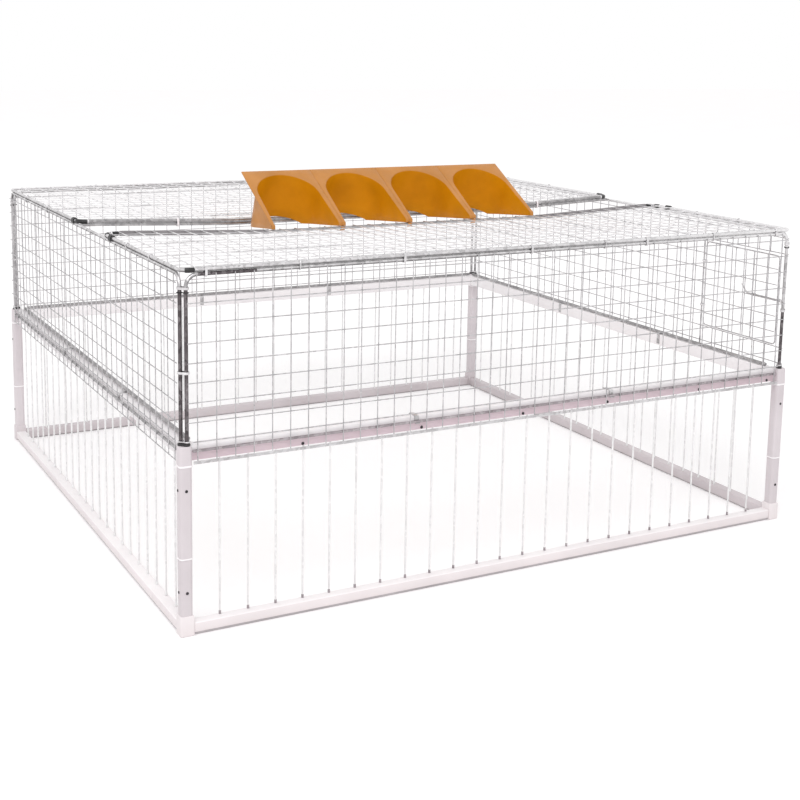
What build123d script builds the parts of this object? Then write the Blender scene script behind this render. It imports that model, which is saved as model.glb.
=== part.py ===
import os
from math import cos, pi, radians, sin, sqrt
from build123d import *

# Overall size, over the outer faces of the corner pieces
cage_width = 1200.0
cage_depth = 1140.0
base_height = 297.0
panel_top = 554.7

# White base: corner pieces, posts and rails
corner_size = 22.0
foot_height = 32.0
cap_height = 32.0
tube_step = 1.0
tube_wall = 1.8
bottom_rail_height = 20.0
mid_rail_height = 24.0
mid_rail_depth = 18.0
mid_rail_inset = 11.5
mid_rail_drop = 1.0
spigot_length = 16.0
spigot_gap = 0.2

# Rods of the base
rod_diameter = 3.2
rod_pitch = 46.0
rod_inset = 16.0
rod_sides = 6

# Bars and wire of the side panels
bar_diameter = 6.0
bar_sides = 8
bar_inset = 7.5
leg_offset = 14.5
leg_seat = 24.0
leg_gap = 0.2
bend_radius = 18.0
wire = 1.8
mesh_pitch = 30.0
mesh_overlap = 26.0
mesh_end = 1.0
lower_bar = 4.0
lower_bar_drop = 9.0

# Ties, grommets and clips
tie_gap = 0.5
tie_band = 1.3
tie_height = 4.0
tie_middle = 111.0
grommet_height = 3.5
grommet_band = 2.6
clip_strap = 1.2
clip_width = 8.0
clip_places = {
    "front": (-0.155, 0.155),
    "right": (-0.195, 0.118),
    "rear": (-0.14, 0.14),
    "left": (-0.118, 0.195),
}
clip_drop = 20.0
rail_bar_gap = 9.0
roof_clip_length = 14.0
roof_clip_wall = 1.6
roof_clip_gap = 0.4

# Roof: a fixed rear half and a front half that lifts
lay_gap = 0.3
roof_corner = 15.0
gap_corner = 18.0
rear_half_edge = 3.0
front_half_edge = -165.0
roof_sag = 11.0
sag_flat = 300.0
sag_start = 15.0
sag_bend = 200.0
roof_mesh_gap = 0.1
mesh_stop = 1.8
hinge_places = (-0.925, -0.4, 0.02, 0.43, 0.925)
rear_tie_places = (-0.67, 0.0, 0.67)
brace_tie_places = (-0.675, 0.675)

# Hand door in the right panel, with its slide bolt
door_wire = 2.6
door_wire_sides = 6
door_width = 204.0
door_front_gap = 15.5
door_sill_count = 2
door_head_count = 8
door_edge_gap = 5.0
door_corner = 8.0
door_columns = 6
door_jamb_gap = 7.0
jamb_wire = 3.2
door_ring_rows = (3, 6)
bolt_diameter = 3.0
bolt_gap = 0.3
bolt_row_count = 5
bolt_clear = 2.0
bolt_length = 92.0
bolt_handle = 16.0
bolt_bend = 5.0
guide_length = 6.0
guide_wall = 0.9
stile_offset = 68.0

# Trap: joined chutes on the bars of the roof gap
chute_count = 4
chute_pitch = 142.0
chute_opening = 128.0
chute_head = 123.0
chute_wall = 2.5
chute_depth = 150.0
chute_overhang = 1.0
chute_rim = 14.5
chute_lip = 7.0
chute_rise = 92.0
chute_length = 90.0
chute_lean = 20.0
chute_keel = 14.0
seat_gap = 0.3
foot_depth = 10.0
hook_band = 1.6
hook_length = 8.0

# Levels and positions worked out from the sizes above
half_w = cage_width / 2
half_d = cage_depth / 2
bar_r = bar_diameter / 2
mid_top = base_height - mid_rail_drop
mid_bottom = mid_top - mid_rail_height
roof_z = panel_top + bar_diameter + lay_gap
roof_x = half_w - bar_inset
roof_y = half_d - bar_inset
mesh_bottom = base_height - mesh_overlap
mesh_low_row = mesh_bottom + wire
mesh_top = panel_top + mesh_end
column_in = bar_inset - bar_r
column_out = column_in - wire
row_out = column_out - wire
tie_levels = (base_height + tie_middle, panel_top - bend_radius - tie_height / 2)
seat_z = roof_z - roof_sag + bar_r + seat_gap
chute_front = front_half_edge - chute_overhang
chute_rear = chute_front + chute_depth

SIDES = {
    "front": (cage_width, Location((0, -half_d, 0))),
    "right": (cage_depth, Location((half_w, 0, 0), (0, 0, 90))),
    "rear": (cage_width, Location((0, half_d, 0), (0, 0, 180))),
    "left": (cage_depth, Location((-half_w, 0, 0), (0, 0, -90))),
}

CORNERS = {
    "front_left": Location((-half_w, -half_d, 0)),
    "front_right": Location((half_w, -half_d, 0), (0, 0, 90)),
    "rear_right": Location((half_w, half_d, 0), (0, 0, 180)),
    "rear_left": Location((-half_w, half_d, 0), (0, 0, 270)),
}


def block(x0, x1, y0, y1, z0, z1):
    centre = Pos((x0 + x1) / 2, (y0 + y1) / 2, (z0 + z1) / 2)
    return centre * Box(x1 - x0, y1 - y0, z1 - z0)


# Bars, rods and ties are drawn with a few flats, and their sizes are measured across the flats
def section(diameter, sides):
    return RegularPolygon(diameter / 2, sides, major_radius=False, rotation=180 / sides)


def rod(start, end, diameter, sides, across):
    line = Line(start, end)
    return sweep(Plane(line @ 0, x_dir=across, z_dir=line % 0) * section(diameter, sides), path=line)


def bent_bar(points, radii, diameter, sides, across):
    path = FilletPolyline(*points, radius=radii)
    return sweep(Plane(path @ 0, x_dir=across, z_dir=path % 0) * section(diameter, sides), path=path)


def loop(spacing, first_r, second_r):
    step = 2 * pi / bar_sides
    points = []
    for x, radius, start in ((-spacing / 2, first_r, pi / 2), (spacing / 2, second_r, -pi / 2)):
        corner = radius / cos(step / 2)
        for k in range(bar_sides // 2):
            angle = start + step * (k + 0.5)
            points.append((x + corner * cos(angle), corner * sin(angle)))
    return make_face(Polyline(*points, close=True))


def band(first, second, along, thickness, length, first_d=bar_diameter, second_d=bar_diameter):
    first = Vector(*first)
    second = Vector(*second)
    reach = second - first
    plane = Plane((first + second) * 0.5, x_dir=reach, z_dir=along)
    first_r = first_d / 2 + tie_gap
    second_r = second_d / 2 + tie_gap
    outer = loop(reach.length, first_r + thickness, second_r + thickness)
    inner = loop(reach.length, first_r, second_r)
    return extrude(plane * (outer - inner), amount=length / 2, both=True)


def grid(limit, pitch):
    count = int(limit / pitch)
    return [pitch * k for k in range(-count, count + 1)]


def between(target, pitch):
    return (round(target / pitch - 0.5) + 0.5) * pitch


def mesh_rows():
    count = int((panel_top - bar_diameter - mesh_low_row) / mesh_pitch)
    return [mesh_low_row + mesh_pitch * k for k in range(count + 1)]


def rod_places(span):
    clear = span - 2 * corner_size
    count = int(clear / rod_pitch)
    step = clear / count
    return [step * k - clear / 2 for k in range(1, count)]


# Base, each piece drawn at the front side or the front left corner and turned to its place
def bottom_rail(span):
    end = span / 2 - corner_size
    low = tube_step
    high = corner_size - tube_step
    top = bottom_rail_height
    rail = block(-end, end, low, high, 0, top)
    return rail - block(-end, end, low + tube_wall, high - tube_wall, tube_wall, top - tube_wall)


def mid_rail(span):
    end = span / 2 - corner_size
    low = mid_rail_inset
    high = mid_rail_inset + mid_rail_depth
    short = end - (high - corner_size)
    outline = Polyline(
        (-end, low), (end, low), (end, corner_size), (short, high),
        (-short, high), (-end, corner_size), (-end, low),
    )
    rail = Pos(0, 0, mid_bottom) * extrude(make_face(outline), amount=mid_rail_height)
    low += tube_wall
    high -= tube_wall
    return rail - block(-end, end, low, high, mid_bottom + tube_wall, mid_top - tube_wall)


def rods(span):
    one = extrude(section(rod_diameter, rod_sides), amount=mid_bottom - bottom_rail_height)
    return Compound([Pos(u, rod_inset, bottom_rail_height) * one for u in rod_places(span)])


def corner_foot():
    foot = block(0, corner_size, 0, corner_size, 0, foot_height)
    low = tube_step + tube_wall + spigot_gap
    high = corner_size - low
    rail_low = tube_wall + spigot_gap
    rail_high = bottom_rail_height - rail_low
    reach = corner_size + spigot_length
    foot += block(corner_size, reach, low, high, rail_low, rail_high)
    foot += block(low, high, corner_size, reach, rail_low, rail_high)
    return foot + block(low, high, low, high, foot_height, foot_height + spigot_length)


def corner_post():
    low = tube_step
    high = corner_size - tube_step
    top = base_height - cap_height
    post = block(low, high, low, high, foot_height, top)
    low += tube_wall
    high -= tube_wall
    return post - block(low, high, low, high, foot_height, top)


def corner_cap():
    bottom = base_height - cap_height
    cap = block(0, corner_size, 0, corner_size, bottom, base_height)
    low = tube_step + tube_wall + spigot_gap
    high = corner_size - low
    rail_in = mid_rail_inset + tube_wall + spigot_gap
    rail_low = mid_bottom + tube_wall + spigot_gap
    rail_high = mid_top - tube_wall - spigot_gap
    reach = corner_size + spigot_length
    cap += block(corner_size, reach, rail_in, corner_size, rail_low, rail_high)
    cap += block(rail_in, corner_size, corner_size, reach, rail_low, rail_high)
    cap += block(low, high, low, high, bottom - spigot_length, bottom)
    socket = extrude(section(bar_diameter + 2 * leg_gap, bar_sides), amount=leg_seat)
    for x, y in ((leg_offset, bar_inset), (bar_inset, leg_offset)):
        cap -= Pos(x, y, base_height - leg_seat) * socket
    return cap


def leg_pair(z):
    return (leg_offset, bar_inset, z), (bar_inset, leg_offset, z)


def leg_tie(z):
    first, second = leg_pair(z)
    return band(first, second, (0, 0, 1), tie_band, tie_height)


def leg_grommet():
    first, second = leg_pair(base_height + grommet_height / 2)
    return band(first, second, (0, 0, 1), grommet_band, grommet_height)


# Side panels, drawn at the front side with depth measured inwards from the outer faces
def panel_frame(span):
    leg = span / 2 - leg_offset
    foot = base_height - leg_seat
    points = [(-leg, foot), (-leg, panel_top), (leg, panel_top), (leg, foot)]
    path = [(u, bar_inset, z) for u, z in points]
    return bent_bar(path, [bend_radius, bend_radius], bar_diameter, bar_sides, (0, 1, 0))


def row_reach(span, z):
    leg = span / 2 - leg_offset
    if z < base_height + grommet_height + wire:
        return span / 2 - corner_size - mesh_end
    over = z - (panel_top - bend_radius)
    if over <= 0:
        return leg
    return leg - bend_radius + sqrt(bend_radius ** 2 - over ** 2)


def mesh_columns(places, low, high):
    return [block(u - wire / 2, u + wire / 2, column_out, column_in, low, high) for u in places]


def mesh_row(u0, u1, z):
    return block(u0, u1, row_out, column_out, z - wire / 2, z + wire / 2)


def foot_bar(u0, u1):
    z = base_height - lower_bar_drop
    return block(u0, u1, column_in, column_in + lower_bar, z - lower_bar / 2, z + lower_bar / 2)


def panel_mesh(span):
    end = span / 2 - corner_size - mesh_end
    wires = mesh_columns(grid(end - mesh_end, mesh_pitch), mesh_bottom, mesh_top)
    wires += [mesh_row(-row_reach(span, z), row_reach(span, z), z) for z in mesh_rows()]
    return Compound(wires + [foot_bar(-end, end)])


# Right panel: a jamb bar and mesh in three pieces leave the door's opening free
door_front = -(half_d - leg_offset) + door_front_gap
door_rear = door_front + door_width
door_jamb = door_rear + door_jamb_gap
door_low = mesh_rows()[door_sill_count] + door_edge_gap
door_high = mesh_rows()[door_head_count] - door_edge_gap


def right_panel_frame():
    low = base_height - lower_bar_drop + lower_bar / 2
    ends = (door_jamb, bar_inset, low), (door_jamb, bar_inset, panel_top)
    return panel_frame(cage_depth) + rod(ends[0], ends[1], jamb_wire, bar_sides, (0, 1, 0))


def right_mesh(name):
    end = cage_depth / 2 - corner_size - mesh_end
    places = grid(end - mesh_end, mesh_pitch)
    rows = mesh_rows()
    sill = rows[door_sill_count] + wire / 2
    head = rows[door_head_count] - wire / 2
    if name == "rear":
        far = [u for u in places if u > door_jamb + mesh_pitch / 2]
        wires = mesh_columns(far, mesh_bottom, mesh_top)
        wires += [mesh_row(door_jamb, row_reach(cage_depth, z), z) for z in rows]
        return Compound(wires + [foot_bar(door_jamb, end)])
    near = [u for u in places if u < door_jamb - bar_diameter]
    if name == "under_door":
        wires = mesh_columns(near, mesh_bottom, sill)
        wires += [mesh_row(-row_reach(cage_depth, z), door_jamb, z) for z in rows if z < sill]
        return Compound(wires + [foot_bar(-end, door_jamb)])
    wires = mesh_columns(near, head, mesh_top)
    return Compound(wires + [mesh_row(-row_reach(cage_depth, z), door_jamb, z) for z in rows if z > head])


def door_frame():
    middle = (door_front + door_rear) / 2
    half = []
    for edge in (door_front, door_rear):
        points = [(middle, door_low), (edge, door_low), (edge, door_high), (middle, door_high)]
        path = [(u, bar_inset, z) for u, z in points]
        half.append(bent_bar(path, [door_corner, door_corner], door_wire, door_wire_sides, (0, 1, 0)))
    stile = door_front + stile_offset
    ends = (stile, bar_inset, door_low), (stile, bar_inset, door_high)
    return half[0] + half[1] + rod(ends[0], ends[1], door_wire, door_wire_sides, (0, 1, 0))


def door_mesh():
    inner = bar_inset + door_wire / 2
    step = door_width / (door_columns + 1)
    wires = []
    for k in range(1, door_columns + 1):
        u = door_front + step * k
        wires.append(block(u - wire / 2, u + wire / 2, inner, inner + wire, door_low, door_high))
    for z in mesh_rows()[door_sill_count + 1:door_head_count]:
        wires.append(block(door_front, door_rear, inner + wire, inner + 2 * wire, z - wire / 2, z + wire / 2))
    return Compound(wires)


def door_rings():
    rows = mesh_rows()
    rings = []
    for k in door_ring_rows:
        z = (rows[k] + rows[k + 1]) / 2
        hinge = (door_rear, bar_inset, z)
        jamb = (door_jamb, bar_inset, z)
        rings.append(band(hinge, jamb, (0, 0, 1), tie_band, tie_height, door_wire, jamb_wire))
    return Compound(rings)


bolt_z = mesh_rows()[bolt_row_count]
bolt_in = column_in - bolt_gap - bolt_diameter / 2
keeper_rear = -(half_d - leg_offset) + bar_r + guide_length
bolt_tip = keeper_rear + bolt_clear


def door_bolt():
    turn = bolt_tip + bolt_length
    points = [(bolt_tip, bolt_z), (turn, bolt_z), (turn + bolt_handle, bolt_z + bolt_handle)]
    path = [(u, bolt_in, z) for u, z in points]
    return bent_bar(path, [bolt_bend], bolt_diameter, door_wire_sides, (0, 1, 0))


def bolt_bore(u0, u1):
    half = bolt_diameter / 2 + bolt_gap
    return block(u0, u1, bolt_in - half, bolt_in + half, bolt_z - half, bolt_z + half)


def bolt_loop(u0, inner):
    tall = bolt_diameter / 2 + bolt_gap + guide_wall
    u1 = u0 + guide_length
    return block(u0, u1, bolt_in - tall, inner, bolt_z - tall, bolt_z + tall) - bolt_bore(u0, u1)


def bolt_guides():
    places = (door_front, door_front + stile_offset)
    return Compound([bolt_loop(u - guide_length / 2, bar_inset - door_wire / 2) for u in places])


def bolt_keeper():
    return bolt_loop(keeper_rear - guide_length, bar_inset + guide_wall)


# Clips that hook the panels' foot bars to the base
def rail_clip(u):
    rail_in = mid_rail_inset + mid_rail_depth
    bar_low = base_height - lower_bar_drop - lower_bar / 2
    middle = (mid_rail_inset + column_in + lower_bar) / 2
    u0 = u - clip_width / 2
    u1 = u + clip_width / 2
    out0 = middle - clip_strap / 2
    clip = block(u0, u1, rail_in, rail_in + clip_strap, mid_top - clip_drop, mid_top + clip_strap)
    clip += block(u0, u1, out0, rail_in, mid_top, mid_top + clip_strap)
    clip += block(u0, u1, out0, out0 + clip_strap, bar_low - clip_strap, mid_top)
    return clip + block(u0, u1, column_in, out0, bar_low - clip_strap, bar_low)


# Bars that lie on the mid rails of three sides, over the straps of the clips
def rail_bar(span):
    end = span / 2 - corner_size - rail_bar_gap
    depth = mid_rail_inset + mid_rail_depth - bar_r - clip_strap
    z = mid_top + clip_strap + seat_gap + bar_r
    return rod((-end, depth, z), (end, depth, z), bar_diameter, bar_sides, (0, 1, 0))


# Roof halves: frames of bent bar whose inner bars sag, with mesh that follows them
sag_end = roof_x - gap_corner - sag_start


def drop_at(x):
    if abs(x) >= sag_end:
        return 0.0
    if abs(x) <= sag_flat:
        return roof_sag
    return roof_sag * (sag_end - abs(x)) / (sag_end - sag_flat)


def roof_frame(outer_y, inner_y):
    halves = []
    for side in (1, -1):
        points = [
            (0, outer_y, roof_z), (side * roof_x, outer_y, roof_z), (side * roof_x, inner_y, roof_z),
            (side * sag_end, inner_y, roof_z), (side * sag_flat, inner_y, roof_z - roof_sag),
            (0, inner_y, roof_z - roof_sag),
        ]
        radii = [roof_corner, gap_corner, sag_bend, sag_bend]
        halves.append(bent_bar(points, radii, bar_diameter, bar_sides, (0, 0, 1)))
    return halves[0] + halves[1]


def roof_mesh(outer_y, inner_y):
    toward = 1 if inner_y > outer_y else -1
    length = abs(inner_y - outer_y)
    base = roof_z + bar_r + roof_mesh_gap
    first = bar_inset
    wires = []
    for k in range(int((length - 2 * first) / mesh_pitch) + 1):
        away = first + mesh_pitch * k
        part = away / length
        y = outer_y + toward * away
        bends = (-roof_x, -sag_end, -sag_flat, sag_flat, sag_end, roof_x)
        line = [(x, base - part * drop_at(x)) for x in bends]
        upper = [(x, z + wire) for x, z in reversed(line)]
        face = Plane.XZ * make_face(Polyline(*line, *upper, close=True))
        wires.append(Pos(0, y, 0) * extrude(face, amount=wire / 2, both=True))
    over = base + wire + roof_mesh_gap
    for x in grid(roof_x - bar_diameter, mesh_pitch):
        turn = max(abs(x) - (roof_x - gap_corner), 0)
        end = length - mesh_stop - gap_corner + sqrt(gap_corner ** 2 - turn ** 2)
        fall = drop_at(x) * end / length
        y1 = outer_y + toward * end
        corners = [(outer_y, over), (y1, over - fall), (y1, over - fall + wire), (outer_y, over + wire)]
        face = Plane.YZ * make_face(Polyline(*corners, close=True))
        wires.append(Pos(x, 0, 0) * extrude(face, amount=wire / 2, both=True))
    return Compound(wires)


def edge_rings(places, y):
    rings = []
    for place in places:
        x = between(place * half_w, mesh_pitch)
        rings.append(band((x, y, panel_top), (x, y, roof_z), (1, 0, 0), tie_band, tie_height))
    return Compound(rings)


def brace():
    z = roof_z - bar_diameter - lay_gap
    end = roof_x - bar_r - lay_gap
    low = z - roof_sag
    points = [(-end, z), (-sag_end, z), (-sag_flat, low), (sag_flat, low), (sag_end, z), (end, z)]
    path = [(x, rear_half_edge, level) for x, level in points]
    return bent_bar(path, [sag_bend] * 4, bar_diameter, bar_sides, (0, 1, 0))


def brace_ties():
    ties = []
    for place in brace_tie_places:
        x = between(place * half_w, mesh_pitch)
        upper = (x, rear_half_edge, roof_z - drop_at(x))
        lower = (x, rear_half_edge, roof_z - drop_at(x) - bar_diameter - lay_gap)
        ties.append(band(lower, upper, (1, 0, 0), tie_band, tie_height))
    return Compound(ties)


def roof_clips(outer_y, inner_y):
    toward = 1 if inner_y > outer_y else -1
    straight = abs(inner_y - outer_y) - gap_corner - roof_clip_length / 2 - bar_inset
    y = outer_y + toward * (bar_inset + mesh_pitch * (int(straight / mesh_pitch - 0.5) + 0.5))
    inner = bar_r + roof_clip_gap
    outer = inner + roof_clip_wall
    y0 = y - roof_clip_length / 2
    y1 = y + roof_clip_length / 2
    clips = []
    for x in (roof_x, -roof_x):
        clip = block(x - outer, x + outer, y0, y1, mesh_top + roof_clip_gap, roof_z + outer)
        clips.append(clip - block(x - inner, x + inner, y0, y1, panel_top, roof_z + inner))
    return Compound(clips)


# Trap: leaning chutes behind a slanting face, with a round head, an open front and an open foot
face_front = seat_z + chute_lip
face_length = sqrt(chute_depth ** 2 + (chute_rise - chute_lip) ** 2)
face_sin = (chute_rise - chute_lip) / face_length
face_cos = chute_depth / face_length
FACE = Plane((0, chute_front, face_front), x_dir=(1, 0, 0), z_dir=(0, -face_sin, face_cos))
AXIS = Vector(0, sin(radians(chute_lean)), -cos(radians(chute_lean)))


def chute_plan(widen, start):
    radius = chute_head / 2 + widen
    front = chute_opening / 2 + widen
    centre = face_length - chute_rim - chute_head / 2
    sides = Polyline((-radius, centre), (-front, start), (front, start), (radius, centre))
    return make_face(sides + ThreePointArc((radius, centre), (0, centre + radius), (-radius, centre)))


def chute_side():
    far = chute_depth + chute_length
    keel = seat_z - chute_keel * far / chute_depth
    top = seat_z + chute_rise
    outline = Polyline(
        (chute_front, seat_z), (chute_front + far, keel), (chute_front + far, top),
        (chute_rear, top), (chute_front, face_front), close=True,
    )
    return extrude(Plane.YZ * make_face(outline), amount=chute_pitch / 2, both=True)


def chute():
    half = chute_pitch / 2
    rim = FACE * Pos(0, face_length / 2) * Rectangle(chute_pitch, face_length)
    shell = extrude(FACE * chute_plan(chute_wall, 0), amount=chute_length, dir=AXIS) & chute_side()
    shell += extrude(rim, amount=-chute_wall)
    shell += block(-half, half, chute_front, chute_front + foot_depth, seat_z, face_front)
    above = Pos(AXIS * -chute_rim) * (FACE * chute_plan(0, -chute_rim))
    return shell - extrude(above, amount=2 * chute_length, dir=AXIS)


def chute_centre(k):
    return chute_pitch * (k - (chute_count - 1) / 2)


def trap_hooks():
    bar_z = roof_z - roof_sag
    inner = bar_diameter + 2 * seat_gap
    outer = inner + 2 * hook_band
    below = Pos(0, -hook_band) * Rectangle(outer, outer)
    face = (section(outer, bar_sides) - section(inner, bar_sides)) & below
    ring = extrude(Plane.YZ * face, amount=hook_length / 2, both=True)
    places = [chute_centre(k) - chute_pitch / 2 for k in range(1, chute_count)]
    return Compound([Pos(x, front_half_edge, bar_z) * ring for x in places])


def around(shape):
    return Compound([place * shape for place in CORNERS.values()])


def all_parts():
    parts = {}
    for name, (span, place) in SIDES.items():
        parts["bottom_rail_" + name] = place * bottom_rail(span)
        parts["mid_rail_" + name] = place * mid_rail(span)
        parts["rods_" + name] = place * rods(span)
        if name != "right":
            parts["panel_frame_" + name] = place * panel_frame(span)
            parts["panel_mesh_" + name] = place * panel_mesh(span)
    for name, place in CORNERS.items():
        parts["corner_foot_" + name] = place * corner_foot()
        parts["corner_post_" + name] = place * corner_post()
        parts["corner_cap_" + name] = place * corner_cap()
    parts["leg_grommets"] = around(leg_grommet())
    parts["leg_ties"] = around(Compound([leg_tie(z) for z in tie_levels]))
    clips = []
    for name, (span, place) in SIDES.items():
        clips += [place * rail_clip(between(share * span, mesh_pitch)) for share in clip_places[name]]
    parts["rail_clips"] = Compound(clips)
    barred = [SIDES[name] for name in ("right", "rear", "left")]
    parts["rail_bars"] = Compound([place * rail_bar(span) for span, place in barred])
    right = SIDES["right"][1]
    parts["panel_frame_right"] = right * right_panel_frame()
    parts["panel_mesh_right_rear"] = right * right_mesh("rear")
    parts["panel_mesh_right_under_door"] = right * right_mesh("under_door")
    parts["panel_mesh_right_over_door"] = right * right_mesh("over_door")
    parts["door_frame"] = right * door_frame()
    parts["door_mesh"] = right * door_mesh()
    parts["door_rings"] = right * door_rings()
    parts["door_bolt"] = right * door_bolt()
    parts["bolt_guides"] = right * bolt_guides()
    parts["bolt_keeper"] = right * bolt_keeper()
    parts["roof_frame"] = roof_frame(roof_y, rear_half_edge)
    parts["roof_mesh"] = roof_mesh(roof_y, rear_half_edge)
    parts["roof_ties"] = edge_rings(rear_tie_places, roof_y)
    parts["roof_clips"] = roof_clips(roof_y, rear_half_edge)
    parts["roof_brace"] = brace()
    parts["brace_ties"] = brace_ties()
    parts["lid_frame"] = roof_frame(-roof_y, front_half_edge)
    parts["lid_mesh"] = roof_mesh(-roof_y, front_half_edge)
    parts["lid_rings"] = edge_rings(hinge_places, -roof_y)
    parts["lid_clips"] = roof_clips(-roof_y, front_half_edge)
    for k in range(chute_count):
        parts["trap_chute_%d" % (k + 1)] = Pos(chute_centre(k), 0, 0) * chute()
    parts["trap_hooks"] = trap_hooks()
    return parts


os.makedirs("parts", exist_ok=True)
for node, shape in all_parts().items():
    export_step(shape, "parts/" + node + ".step")
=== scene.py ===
from math import acos, ceil, cos, pi, radians, sin, sqrt, tan

import bmesh
import bpy
from mathutils import Matrix, Vector


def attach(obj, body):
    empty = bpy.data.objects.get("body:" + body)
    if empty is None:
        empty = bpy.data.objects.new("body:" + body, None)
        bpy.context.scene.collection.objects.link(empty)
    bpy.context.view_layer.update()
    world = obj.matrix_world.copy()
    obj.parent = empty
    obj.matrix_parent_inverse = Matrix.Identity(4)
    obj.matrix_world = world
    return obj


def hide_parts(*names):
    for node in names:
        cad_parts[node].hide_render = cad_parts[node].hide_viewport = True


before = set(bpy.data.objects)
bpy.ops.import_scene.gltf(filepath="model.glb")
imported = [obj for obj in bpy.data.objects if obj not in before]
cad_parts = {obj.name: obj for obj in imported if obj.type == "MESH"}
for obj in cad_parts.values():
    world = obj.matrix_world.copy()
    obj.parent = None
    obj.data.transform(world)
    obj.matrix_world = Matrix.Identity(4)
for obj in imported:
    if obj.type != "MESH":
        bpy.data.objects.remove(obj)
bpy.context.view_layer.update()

# Sizes that several pieces share, in millimetres, as in the part's source
MM = 0.001
HALF_W = 600.0
HALF_D = 570.0
BASE = 297.0
CORNER = 22.0
STEP = 1.0
SEAM = 121.0
RAIL_TOP = 20.0
MID_LOW = 272.0
MID_TOP = 296.0
BAR_R = 3.0
BAR_SIDES = 14
INSET = 7.5
LEG = 14.5
TOP = 554.7
BEND = 18.0
WIRE = 1.8
WIRE_R = 0.9
PITCH = 30.0
ROOF_Z = 561.0
ROOF_X = 592.5
ROOF_Y = 562.5
REAR_EDGE = 3.0
LID_EDGE = -165.0
SAG = 11.0
SAG_FLAT = 300.0
SAG_END = 559.5
SAG_BEND = 200.0

# Each side: half its length, the middle of its outer edge, and the ways along it and inwards
SIDES = {
    "front": (HALF_W, Vector((0, -HALF_D, 0)), Vector((1, 0, 0)), Vector((0, 1, 0))),
    "right": (HALF_D, Vector((HALF_W, 0, 0)), Vector((0, 1, 0)), Vector((-1, 0, 0))),
    "rear": (HALF_W, Vector((0, HALF_D, 0)), Vector((-1, 0, 0)), Vector((0, -1, 0))),
    "left": (HALF_D, Vector((-HALF_W, 0, 0)), Vector((0, -1, 0)), Vector((1, 0, 0))),
}
CORNERS = {
    "front_left": (-1, -1), "front_right": (1, -1), "rear_right": (1, 1), "rear_left": (-1, 1),
}
X_AXIS = Vector((1, 0, 0))
Y_AXIS = Vector((0, 1, 0))
UP = Vector((0, 0, 1))


# A point on a side: u along it from its middle, d inwards from its outer edge, z up
def at(side, u, d, z):
    _, origin, along, inward = SIDES[side]
    return origin + along * u + inward * d + UP * z


class Shape:
    def __init__(self):
        self.verts = []
        self.faces = []

    def add(self, verts, faces):
        start = len(self.verts)
        self.verts.extend(verts)
        self.faces.extend(tuple(start + i for i in face) for face in faces)

    def skin(self, rings, closed=False):
        start = len(self.verts)
        sides = len(rings[0])
        count = len(rings)
        for ring in rings:
            self.verts.extend(ring)
        for i in range(count if closed else count - 1):
            a = start + i * sides
            b = start + (i + 1) % count * sides
            for k in range(sides):
                m = (k + 1) % sides
                self.faces.append((a + k, a + m, b + m, b + k))
        if not closed:
            self.faces.append(tuple(start + k for k in reversed(range(sides))))
            self.faces.append(tuple(start + (count - 1) * sides + k for k in range(sides)))

    def middle(self, face):
        points = [self.verts[k] for k in self.faces[face]]
        return sum(points, Vector()) / len(points)

    # second is another look, with a test that says which faces get it
    def piece(self, name, look, *nodes, body="cage", angle=40, second=None):
        mesh = bpy.data.meshes.new(name)
        mesh.from_pydata([v * MM for v in self.verts], [], self.faces)
        mesh.polygons.foreach_set("use_smooth", [True] * len(mesh.polygons))
        mesh.set_sharp_from_angle(angle=radians(angle))
        mesh.materials.append(look.material)
        if second:
            other, chosen = second
            mesh.materials.append(other.material)
            indices = [int(chosen(k)) for k in range(len(self.faces))]
            mesh.polygons.foreach_set("material_index", indices)
        obj = bpy.data.objects.new(name, mesh)
        bpy.context.scene.collection.objects.link(obj)
        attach(obj, body)
        if nodes:
            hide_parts(*nodes)


# Round stock: a path gets a ring of points at each step, turned as little as possible
def rounded(points, radii, step=radians(11)):
    path = [points[0]]
    for before, corner, after, radius in zip(points, points[1:], points[2:], radii):
        a = (before - corner).normalized()
        b = (after - corner).normalized()
        angle = a.angle(b)
        reach = radius / tan(angle / 2)
        centre = corner + (a + b).normalized() * (radius / sin(angle / 2))
        start = corner + a * reach - centre
        axis = start.cross(corner + b * reach - centre).normalized()
        turn = pi - angle
        count = max(2, ceil(turn / step))
        for k in range(count + 1):
            path.append(centre + Matrix.Rotation(turn * k / count, 3, axis) @ start)
    return path + [points[-1]]


def tangents(path, closed=False):
    count = len(path)
    found = []
    for k in range(count):
        before = path[k - 1] if closed or k > 0 else path[k]
        after = path[(k + 1) % count] if closed or k < count - 1 else path[k]
        found.append((after - before).normalized())
    return found


def circle(sides):
    return [(cos(2 * pi * k / sides), sin(2 * pi * k / sides)) for k in range(sides)]


def tube(shape, path, radius, sides=10, blunt=0.35):
    directions = tangents(path)
    t = directions[0]
    x = t.orthogonal().normalized()
    last = len(path) - 1
    rings = []
    for k, (point, direction) in enumerate(zip(path, directions)):
        x = (t.rotation_difference(direction) @ x).normalized()
        t = direction
        y = t.cross(x)
        spokes = [x * c + y * s for c, s in circle(sides)]
        if 0 < k < last:
            rings.append([point + spoke * radius for spoke in spokes])
            continue
        inward = t if k == 0 else -t
        tip = [point + spoke * radius * (1 - blunt) for spoke in spokes]
        set_back = [point + inward * radius * blunt + spoke * radius for spoke in spokes]
        rings += [tip, set_back] if k == 0 else [set_back, tip]
    shape.skin(rings)


def rounded_rectangle(width, height, edge):
    x, y = width / 2, height / 2
    return [
        (-x + edge, -y), (x - edge, -y), (x, -y + edge), (x, y - edge),
        (x - edge, y), (-x + edge, y), (-x, y - edge), (-x, -y + edge),
    ]


# Strips, ties and rings: a section carried along a path, with its width along one fixed axis
def sweep(shape, path, axis, profile, closed=False):
    rings = []
    for point, t in zip(path, tangents(path, closed)):
        out = t.cross(axis).normalized()
        rings.append([point + axis * x + out * y for x, y in profile])
    shape.skin(rings, closed=closed)


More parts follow.
